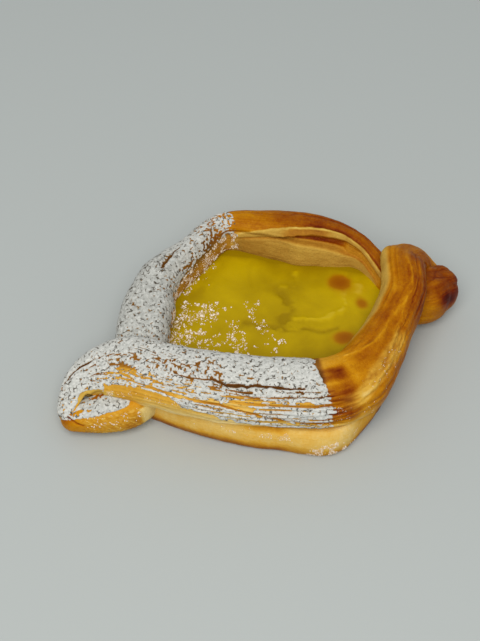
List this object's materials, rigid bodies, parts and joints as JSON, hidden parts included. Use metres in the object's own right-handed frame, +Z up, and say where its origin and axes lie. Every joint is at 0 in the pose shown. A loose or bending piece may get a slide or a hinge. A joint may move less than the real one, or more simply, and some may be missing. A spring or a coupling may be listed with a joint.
{
  "type": "danish pastry",
  "caption": "Diamond-shaped danish pastry: laminated dough strips crossed at both ends form a raised rim round a window of baked custard, half dusted with powdered sugar.",
  "frame": {"origin": "on the resting surface, under the middle of the pastry's outline", "axes": "+X from the left loop to the right loop, +Y from the front corner to the back corner, +Z up"},
  "size_m": [0.1376, 0.0936, 0.0267],
  "materials": {
    "baked_dough": "egg-washed, baked laminated dough: golden to brown, glossy on the tops, paler and matt where its layers were cut",
    "baked_custard": "baked custard with a soft sheen, lightly wrinkled, with a few browned spots",
    "powdered_sugar": "dry powdered sugar in matt white clumps and loose grains"
  },
  "bodies": {
    "root": {"dough": "baked_dough", "custard": "baked_custard"}
  },
  "joints": []
}
